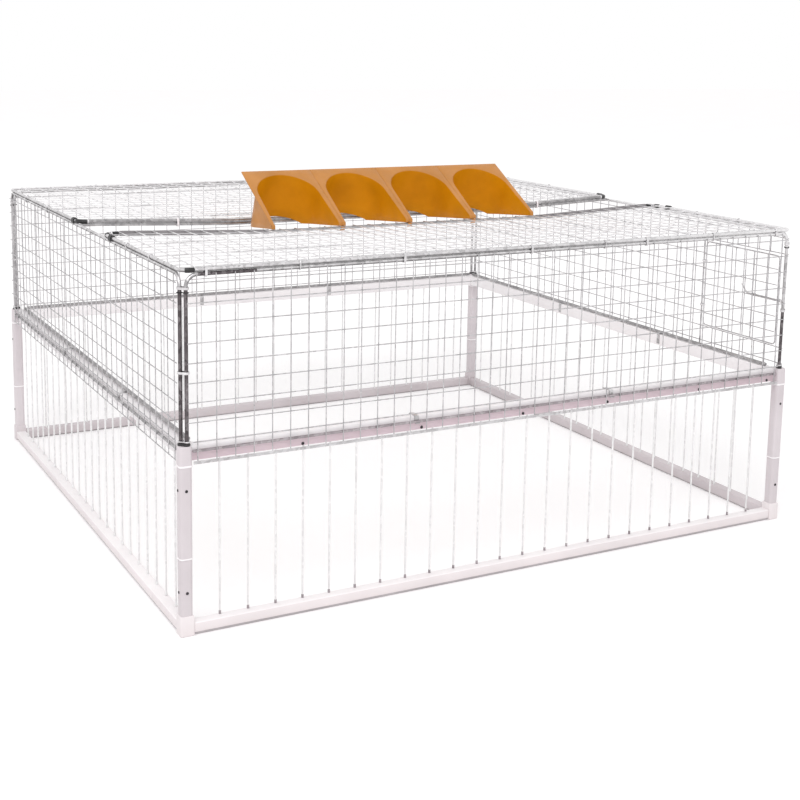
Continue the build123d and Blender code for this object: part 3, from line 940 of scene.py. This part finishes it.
def door_bolt():
    side = "right"
    bolt = Shape()
    points = [at(side, u, BOLT_D, BOLT_Z + rise) for u, rise in BOLT_POINTS]
    tube(bolt, rounded(points, [BOLT_BEND]), BOLT_R, 12, 0.5)
    bolt.piece("round_bolt", BAR_STEEL, "door_bolt", body="bolt")
    guides = Shape()
    for u in (DOOR_FRONT, DOOR_STILE):
        staple(guides, u, GUIDE_D)
    guides.piece("bent_bolt_guides", RING_STEEL, "bolt_guides", body="side_door")
    keeper = Shape()
    staple(keeper, KEEPER_U, KEEPER_D)
    reach = (KEEPER_U - STAPLE_WIDTH / 2, KEEPER_U + STAPLE_WIDTH / 2)
    heights = (BOLT_Z - KEEPER_PLATE_HALF, BOLT_Z + KEEPER_PLATE_HALF)
    side_bar(keeper, side, reach, (KEEPER_PLATE_D, KEEPER_D), heights, KEEPER_PLATE_EDGE, 1)
    keeper.piece("bent_bolt_keeper", RING_STEEL, "bolt_keeper")


# Roof: two halves whose inner bars sag
CORNER_BEND = 15.0
INNER_REACH = 12
BRACE_DROP = 6.3
BRACE_END = 589.2
BRACE_TIES = (-405, 405)
REAR_TIES = (-405, 15, 405)
LID_RINGS = (-555, -225, 15, 255, 555)
CLAMP_LOW = 556.1
CLAMP_R = 4.2
CLAMP_STEPS = 10
CLAMP_WIDTH = 14.0
CLAMP_THICKNESS = 1.6
ROOF_CLAMP_Y = 30
LID_CLAMP_Y = -210


def drop_at(x):
    if abs(x) >= SAG_END:
        return 0.0
    if abs(x) <= SAG_FLAT:
        return SAG
    return SAG * (SAG_END - abs(x)) / (SAG_END - SAG_FLAT)


def roof_bars(outer_y, inner_y):
    bars = Shape()
    for side in (1, -1):
        points = [
            (0, outer_y, ROOF_Z), (side * ROOF_X, outer_y, ROOF_Z),
            (side * ROOF_X, inner_y, ROOF_Z), (side * SAG_END, inner_y, ROOF_Z),
            (side * SAG_FLAT, inner_y, ROOF_Z - SAG), (0, inner_y, ROOF_Z - SAG),
        ]
        bends = [CORNER_BEND, BEND, SAG_BEND, SAG_BEND]
        tube(bars, rounded([Vector(p) for p in points], bends), BAR_R, BAR_SIDES, 0.0)
    return bars, (GREY_STEEL, lambda face: abs(bars.middle(face).y - inner_y) < INNER_REACH)


# The roof's wires aren't straight: each one wanders a little, less near the frame
WANDER = 1.1
WANDER_SIDE = 90
WANDER_EDGE = 80
NET_RISE = 1.4
NET_SIDE_GAP = 3.3
NET_LAP = 2.8


def wander(x, y):
    side = min(1.0, (ROOF_X - abs(x)) / WANDER_SIDE)
    long_waves = sin(x / 61 + y / 87) * sin(y / 73 - x / 140)
    return WANDER * side * (long_waves + 0.5 * sin(x / 37 - y / 43))


def roof_net(outer_y, inner_y):
    net = Shape()
    toward = 1 if inner_y > outer_y else -1
    length = abs(inner_y - outer_y)
    base = ROOF_Z + NET_RISE
    columns = grid(ROOF_X - 2 * BAR_R)
    rows = [INSET + PITCH * k for k in range(int((length - 2 * INSET) / PITCH) + 1)]

    def level(x, away):
        edge = min(1.0, away / WANDER_EDGE, (length - away) / WANDER_EDGE)
        wave = edge * wander(x, outer_y + toward * away)
        return base - drop_at(x) * away / length + wave

    def reach(away):
        outer = max(CORNER_BEND - away, 0)
        inner = max(BEND - (length - away), 0)
        straight = ROOF_X - NET_SIDE_GAP - CORNER_BEND + sqrt(CORNER_BEND ** 2 - outer ** 2)
        return straight - BEND + sqrt(BEND ** 2 - inner ** 2)

    ends = {}
    for x in columns:
        turn = max(abs(x) - (ROOF_X - BEND), 0)
        ends[x] = length - WIRE - BEND + sqrt(BEND ** 2 - turn ** 2)
    for away in rows:
        y = outer_y + toward * away
        stop = reach(away)
        wire(net, [Vector((x, y, level(x, away) + WIRE_R)) for x in (-stop, *columns, stop)])
        for x in columns:
            if away < ends[x]:
                weld(net, Vector((x, y, level(x, away) + WIRE)))
    for x in columns:
        path = [Vector((x, outer_y + toward * NET_LAP, ROOF_Z + NET_LAP))]
        for away in [away for away in rows if away < ends[x] - 5] + [ends[x]]:
            path.append(Vector((x, outer_y + toward * away, level(x, away) + WIRE + WIRE_R)))
        wire(net, path)
    return net


def edge_rings(places, y):
    rings = Shape()
    for x in places:
        bar_tie(rings, Vector((x, y, TOP)), Vector((x, y, ROOF_Z)), X_AXIS)
    return rings


def roof_clamps(y):
    clamps = Shape()
    for x in (ROOF_X, -ROOF_X):
        path = [Vector((x - CLAMP_R, y, CLAMP_LOW))]
        for k in range(CLAMP_STEPS + 1):
            angle = pi * k / CLAMP_STEPS
            path.append(Vector((x - CLAMP_R * cos(angle), y, ROOF_Z + CLAMP_R * sin(angle))))
        path.append(Vector((x + CLAMP_R, y, CLAMP_LOW)))
        strip(clamps, path, Y_AXIS, CLAMP_WIDTH, CLAMP_THICKNESS, 0.5)
    return clamps


def roof_brace():
    z = ROOF_Z - BRACE_DROP
    places = (
        (-BRACE_END, 0), (-SAG_END, 0), (-SAG_FLAT, SAG),
        (SAG_FLAT, SAG), (SAG_END, 0), (BRACE_END, 0),
    )
    path = rounded([Vector((x, REAR_EDGE, z - fall)) for x, fall in places], [SAG_BEND] * 4)
    bar = Shape()
    tube(bar, path, BAR_R, BAR_SIDES)
    bar.piece("bent_roof_brace", GREY_STEEL, "roof_brace")
    ties = Shape()
    for x in BRACE_TIES:
        fall = drop_at(x)
        low, high = Vector((x, REAR_EDGE, z - fall)), Vector((x, REAR_EDGE, ROOF_Z - fall))
        bar_tie(ties, low, high, X_AXIS)
    ties.piece("brace_tie_bands", WHITE_PVC, "brace_ties")


def roof():
    bars, inner = roof_bars(ROOF_Y, REAR_EDGE)
    bars.piece("bent_roof_frame", BAR_STEEL, "roof_frame", second=inner)
    bars, inner = roof_bars(-ROOF_Y, LID_EDGE)
    bars.piece("bent_lid_frame", BAR_STEEL, "lid_frame", body="lid", second=inner)
    roof_net(ROOF_Y, REAR_EDGE).piece("wire_mesh_roof", ROOF_STEEL, "roof_mesh")
    net = roof_net(-ROOF_Y, LID_EDGE)
    last_row = (WIRE_STEEL, lambda face: net.middle(face).y > LID_EDGE - PITCH - 4)
    net.piece("wire_mesh_lid", ROOF_STEEL, "lid_mesh", body="lid", second=last_row)
    edge_rings(REAR_TIES, ROOF_Y).piece("roof_tie_bands", RING_STEEL, "roof_ties")
    edge_rings(LID_RINGS, -ROOF_Y).piece("lid_hinge_rings", RING_STEEL, "lid_rings")
    roof_clamps(ROOF_CLAMP_Y).piece("roof_clamp_clips", BLACK, "roof_clips")
    roof_clamps(LID_CLAMP_Y).piece("lid_clamp_clips", BLACK, "lid_clips", body="lid")
    roof_brace()


# Sleeves and collars on the bends of the inner bars, given by their starts and ends along the
# bend, sheaths on the lid's inner bar, and thin rings along the roof's edges
SLEEVE_R = 4.0
COLLAR_R = 4.2
SLEEVE_BLUNT = 0.15
ROOF_ENDS = ("roof", "cage", REAR_EDGE, 1, [(4, 26)], [(26.4, 29.4)])
LID_ENDS = ("lid", "lid", LID_EDGE, -1, [(3, 14), (23, 35)], [(14.4, 17.4), (19.6, 22.6)])
CORNER_SLEEVE = (15, 29)
CORNER_SLEEVE_R = 3.9
HOG_R = 4.1
FRONT_HOGS = (-405, 165, 405)
SIDE_HOGS = (230, 410)
LID_SIDE_RINGS = (-422, -300)
SHEATH_R = 4.5
SHEATH_SIDES = 16
SHEATH_POINTS = ((566.5, 0), (SAG_END, 0), (SAG_FLAT, SAG), (290, SAG))


def bend_path(side, y, toward, start, end, bend=BEND, steps=8):
    path = []
    turn = bend * pi / 2
    for k in range(steps + 1):
        s = start + (end - start) * k / steps
        angle = min(s, turn) / bend
        x = ROOF_X - bend * (1 - cos(angle)) - max(s - turn, 0)
        path.append(Vector((side * x, y + toward * bend * (1 - sin(angle)), ROOF_Z)))
    return path


def bend_sleeves(y, toward, stretches, radius):
    sleeves = Shape()
    for side in (1, -1):
        for start, end in stretches:
            path = bend_path(side, y, toward, start, end)
            tube(sleeves, path, radius, BAR_SIDES, SLEEVE_BLUNT)
    return sleeves


def hog_ring(shape, x, y, axis):
    path = loop_path(Vector((x, y, TOP)), Vector((x, y, ROOF_Z)), axis, HOG_R, HOG_R)
    wire_ring(shape, path, RING_WIRE_R, axis)


def roof_fittings():
    for name, body, y, toward, blacks, pales in (ROOF_ENDS, LID_ENDS):
        sleeves = bend_sleeves(y, toward, blacks, SLEEVE_R)
        sleeves.piece(name + "_bar_sleeves", BLACK, body=body)
        collars = bend_sleeves(y, toward, pales, COLLAR_R)
        collars.piece(name + "_bar_collars", RING_STEEL, body=body)
    hogs = Shape()
    for x in FRONT_HOGS:
        hog_ring(hogs, x, -ROOF_Y, X_AXIS)
    for x in (-ROOF_X, ROOF_X):
        for y in SIDE_HOGS:
            hog_ring(hogs, x, y, Y_AXIS)
    hogs.piece("edge_hog_rings", RING_STEEL)
    rings = Shape()
    for x in (-ROOF_X, ROOF_X):
        for y in LID_SIDE_RINGS:
            bar_ring(rings, Vector((x, y, ROOF_Z)), Y_AXIS)
    rings.piece("lid_side_rings", RING_STEEL, body="lid")
    sheaths = Shape()
    for side in (1, -1):
        points = [Vector((side * x, LID_EDGE, ROOF_Z - fall)) for x, fall in SHEATH_POINTS]
        tube(sheaths, rounded(points, [SAG_BEND] * 2), SHEATH_R, SHEATH_SIDES, 0.2)
    sheaths.piece("lid_bar_sheaths", SHEATH, body="lid")
    corner = Shape()
    path = bend_path(-1, -ROOF_Y, 1, *CORNER_SLEEVE, CORNER_BEND)
    tube(corner, path, CORNER_SLEEVE_R, BAR_SIDES, SLEEVE_BLUNT)
    corner.piece("front_corner_sleeve", BLACK, body="lid")


# Trap: each chute is carried round its own U, from the hollow over the rim to the outer wall
FACE_RUN = 150
FACE_RISE = 85
FACE_Y = -166
FACE_Z = 560.3
FACE_FRONT = Vector((0, FACE_Y, FACE_Z))
FACE_UP = Vector((0, FACE_RUN, FACE_RISE)).normalized()
FACE_IN = Vector((0, FACE_UP.z, -FACE_UP.y))
FACE_LENGTH = sqrt(FACE_RUN ** 2 + FACE_RISE ** 2)
LEAN = radians(20)
AXIS = Vector((0, sin(LEAN), -cos(LEAN)))
CHUTE_COUNT = 4
CHUTE_HALF = 71.0
CHUTE_FRONT = 64.0
CHUTE_HEAD = 61.5
CHUTE_RIM = 14.5
CHUTE_WALL = 2.5
CHUTE_LENGTH = 90.0
CHUTE_EDGE = 0.7
HOLLOW_TOP = 2.0
OUTER_TOP = 4.2
CHUTE_LIP = [(0.15, 1.2), (0.6, 0.5), (1.3, 0.1), (2.2, 0.0)]
CHUTE_FILLET = [(CHUTE_WALL + 1.6, CHUTE_WALL), (CHUTE_WALL + 0.5, CHUTE_WALL + 0.5)]
RIM_EDGE = [(0.9, 0.0), (0.3, 0.25), (0.0, 0.9), (0.0, CHUTE_WALL)]
KEEL = 14.0 / FACE_RUN
KEEL_FRONT = 7
HOLLOW_POINTS = 5
PAD_LOW = 553.3
PAD_D = (FACE_Y + HALF_D, FACE_Y + HALF_D + 10)
PAD_EDGE = 0.7
HOOK_PLACES = (-142, 0, 142)
HOOK_R = 4.1
HOOK_START = 140
HOOK_TURN = 260
HOOK_STEPS = 14
HOOK_WIDTH = 8.0
HOOK_THICKNESS = 1.6


def on_face(centre, w, s, inward):
    return FACE_FRONT + Vector((centre + w, 0, 0)) + FACE_UP * s + inward


def chute_depth(s):
    rise = KEEL_FRONT + (FACE_UP.z + KEEL * FACE_UP.y) * s
    return min(CHUTE_LENGTH, rise / (-AXIS.z - KEEL * AXIS.y))


# Each station: a point of the hollow's edge, the way out from it, and the rim's edge beside it
def chute_stations(side_steps=14, head_steps=32):
    middle = FACE_LENGTH - CHUTE_RIM - CHUTE_HEAD
    rise = FACE_LENGTH - middle
    lean = (CHUTE_FRONT - CHUTE_HEAD) / middle
    stations = []
    for k in range(side_steps):
        s = middle * k / side_steps
        stations.append(((CHUTE_FRONT - lean * s, s), (1, 0), (CHUTE_HALF, s)))
    for k in range(head_steps + 1):
        angle = pi * k / head_steps
        turn = 4 * k / head_steps
        out = (cos(angle), sin(angle))
        rim = (CHUTE_HALF * max(-1, min(1, 2 - turn)), middle + rise * min(1, turn, 4 - turn))
        stations.append(((CHUTE_HEAD * out[0], middle + CHUTE_HEAD * out[1]), out, rim))
    mirrored = []
    for (w, s), (out_w, out_s), (rim_w, rim_s) in reversed(stations[:side_steps]):
        mirrored.append(((-w, s), (-out_w, out_s), (-rim_w, rim_s)))
    return stations + mirrored


# One section through the wall: up the hollow, over the lip and the rim's plate, and down outside
def chute_ring(centre, hollow, out, rim):
    deep = chute_depth(hollow[1])
    foot = deep - CHUTE_EDGE
    reach = Vector((rim[0] - hollow[0], rim[1] - hollow[1]))
    width = reach.length
    reach /= width

    def row(points, way, inward):
        w, s = hollow
        return [on_face(centre, w + way[0] * x, s + way[1] * x, inward * h) for x, h in points]

    inner = [(0, HOLLOW_TOP + (foot - HOLLOW_TOP) * k / 4) for k in (4, 3, 2, 1, 0)]
    plate = [(width / 2, 0.0)] + [(width - back, h) for back, h in RIM_EDGE]
    outer = [(CHUTE_WALL, OUTER_TOP + (foot - OUTER_TOP) * k / 4) for k in range(5)]
    end = [(CHUTE_WALL - CHUTE_EDGE, deep), (CHUTE_EDGE, deep)]
    ring = row(inner + CHUTE_LIP, out, AXIS) + row(plate, reach, FACE_IN)
    return ring + row(CHUTE_FILLET + outer + end, out, AXIS)


def trap():
    for k in range(CHUTE_COUNT):
        centre = 2 * CHUTE_HALF * (k - (CHUTE_COUNT - 1) / 2)
        chute = Shape()
        rings = [chute_ring(centre, *station) for station in chute_stations()]
        sides = len(rings[0])
        walls = sides * (len(rings) - 1)
        chute.skin(rings)
        for x0, x1 in ((-CHUTE_HALF, -CHUTE_FRONT), (CHUTE_FRONT, CHUTE_HALF)):
            reach = (centre + x0, centre + x1)
            side_bar(chute, "front", reach, PAD_D, (PAD_LOW, FACE_Z), PAD_EDGE)
        # The hollow's faces get the deeper copy, painted shade
        hollow = (OCHRE_HOLLOW, lambda face: face < walls and face % sides < HOLLOW_POINTS)
        chute.piece(
            "moulded_chute_%d" % (k + 1), OCHRE_RIM, "trap_chute_%d" % (k + 1),
            body="lid", angle=50, second=hollow,
        )
    hooks = Shape()
    for x in HOOK_PLACES:
        path = []
        for k in range(HOOK_STEPS + 1):
            a = radians(HOOK_START + HOOK_TURN * k / HOOK_STEPS)
            y, z = LID_EDGE + HOOK_R * cos(a), ROOF_Z - SAG + HOOK_R * sin(a)
            path.append(Vector((x, y, z)))
        strip(hooks, path, X_AXIS, HOOK_WIDTH, HOOK_THICKNESS, 0.4)
    hooks.piece("moulded_hooks", OCHRE_RIM, "trap_hooks", body="lid")


# Studio, in metres: floor, background, light and the photograph's camera
FLOOR_SIZE = 40
FLOOR_Z = -0.0003
FLOOR_TONES = ((0.93, 0.93, 0.93), (0.95, 0.95, 0.95))
FLOOR_GLOW = (0.13, 0.23)
GLOW_REACH = (0.9, 2.6)
SKY_COLOUR = (1.0, 0.98, 0.985, 1)
SKY_STRENGTH = 0.82
KEY_PLACE = (-2.7, -4.0, 5.2)
KEY_AIM = (0, 0, 0.3)
KEY_SIZE = 4.4
KEY_POWER = 170.0


# 1 for the rays that show the background: those of the camera, of reflections and through glass
def seen_rays(nodes, links):
    path = nodes.new("ShaderNodeLightPath")
    rays = path.outputs["Is Camera Ray"]
    for name in ("Is Glossy Ray", "Is Transmission Ray"):
        either = nodes.new("ShaderNodeMath")
        either.operation = "MAXIMUM"
        links.new(rays, either.inputs[0])
        links.new(path.outputs[name], either.inputs[1])
        rays = either.outputs[0]
    return rays


def studio_floor():
    bpy.ops.mesh.primitive_plane_add(size=FLOOR_SIZE, location=(0, 0, FLOOR_Z))
    floor = bpy.context.object
    floor.name = "studio_floor"
    look = Look("studio_floor", specular=0.0)
    colour = look.ramp(look.noise(3, 2.0), (0.3, FLOOR_TONES[0]), (0.7, FLOOR_TONES[1]))
    look.shader.inputs["Emission Color"].default_value = WHITE
    away = look.node("ShaderNodeVectorMath", 0, look.place, operation="LENGTH")
    far = look.span(away.outputs["Value"], *FLOOR_GLOW, *GLOW_REACH)
    glow = look.product(far, seen_rays(look.nodes, look.links))
    look.links.new(glow, look.shader.inputs["Emission Strength"])
    look.finish(colour, look.span(look.noise(20), 0.8, 0.9))
    floor.data.materials.append(look.material)


def studio_light():
    scene = bpy.context.scene
    scene.view_settings.view_transform = "Standard"
    world = bpy.data.worlds.new("studio")
    scene.world = world
    world.use_nodes = True
    nodes, links = world.node_tree.nodes, world.node_tree.links
    nodes.clear()
    mix = nodes.new("ShaderNodeMixShader")
    links.new(seen_rays(nodes, links), mix.inputs[0])
    for index, colour, strength in ((1, SKY_COLOUR, SKY_STRENGTH), (2, WHITE, 1.0)):
        background = nodes.new("ShaderNodeBackground")
        background.inputs["Color"].default_value = colour
        background.inputs["Strength"].default_value = strength
        links.new(background.outputs[0], mix.inputs[index])
    out = nodes.new("ShaderNodeOutputWorld")
    links.new(mix.outputs[0], out.inputs["Surface"])
    lamp = bpy.data.lights.new("studio_key", "AREA")
    lamp.shape = "DISK"
    lamp.size = KEY_SIZE
    lamp.energy = KEY_POWER
    key = bpy.data.objects.new("studio_key", lamp)
    scene.collection.objects.link(key)
    key.location = KEY_PLACE
    key.rotation_euler = (Vector(KEY_AIM) - key.location).to_track_quat("-Z", "Y").to_euler()


# The camera is fitted to the photograph's corners; focal length and middle are in its pixels
PHOTO_SIZE = 800
FOCAL = 1338.3
MIDDLE_Y = 260.0
SENSOR = 36.0
AZIMUTH = radians(28.275)
ELEVATION = radians(-9.275)
ROLL = radians(-1.019)
CAMERA_PLACE = (-1.2179, -2.3947, 0.8946)


def photo_camera():
    data = bpy.data.cameras.new("photo_camera")
    data.sensor_width = SENSOR
    data.lens = FOCAL * SENSOR / PHOTO_SIZE
    data.shift_y = (MIDDLE_Y - PHOTO_SIZE / 2) / PHOTO_SIZE
    data.clip_start, data.clip_end = 0.05, 100
    camera = bpy.data.objects.new("photo_camera", data)
    bpy.context.scene.collection.objects.link(camera)
    level = cos(ELEVATION)
    forward = Vector((sin(AZIMUTH) * level, cos(AZIMUTH) * level, sin(ELEVATION)))
    right = forward.cross(UP).normalized()
    down = forward.cross(right)
    turned_right = right * cos(ROLL) + down * sin(ROLL)
    turned_down = down * cos(ROLL) - right * sin(ROLL)
    matrix = Matrix((turned_right, -turned_down, -forward)).transposed().to_4x4()
    matrix.translation = Vector(CAMERA_PLACE)
    camera.matrix_world = matrix
    bpy.context.scene.camera = camera


base_rails()
base_rods()
corner_pieces()
post_screws()
panel_frames()
plain_meshes()
right_mesh()
leg_fittings()
rail_straps()
side_door()
door_bolt()
roof()
roof_fittings()
trap()
studio_floor()
studio_light()
photo_camera()
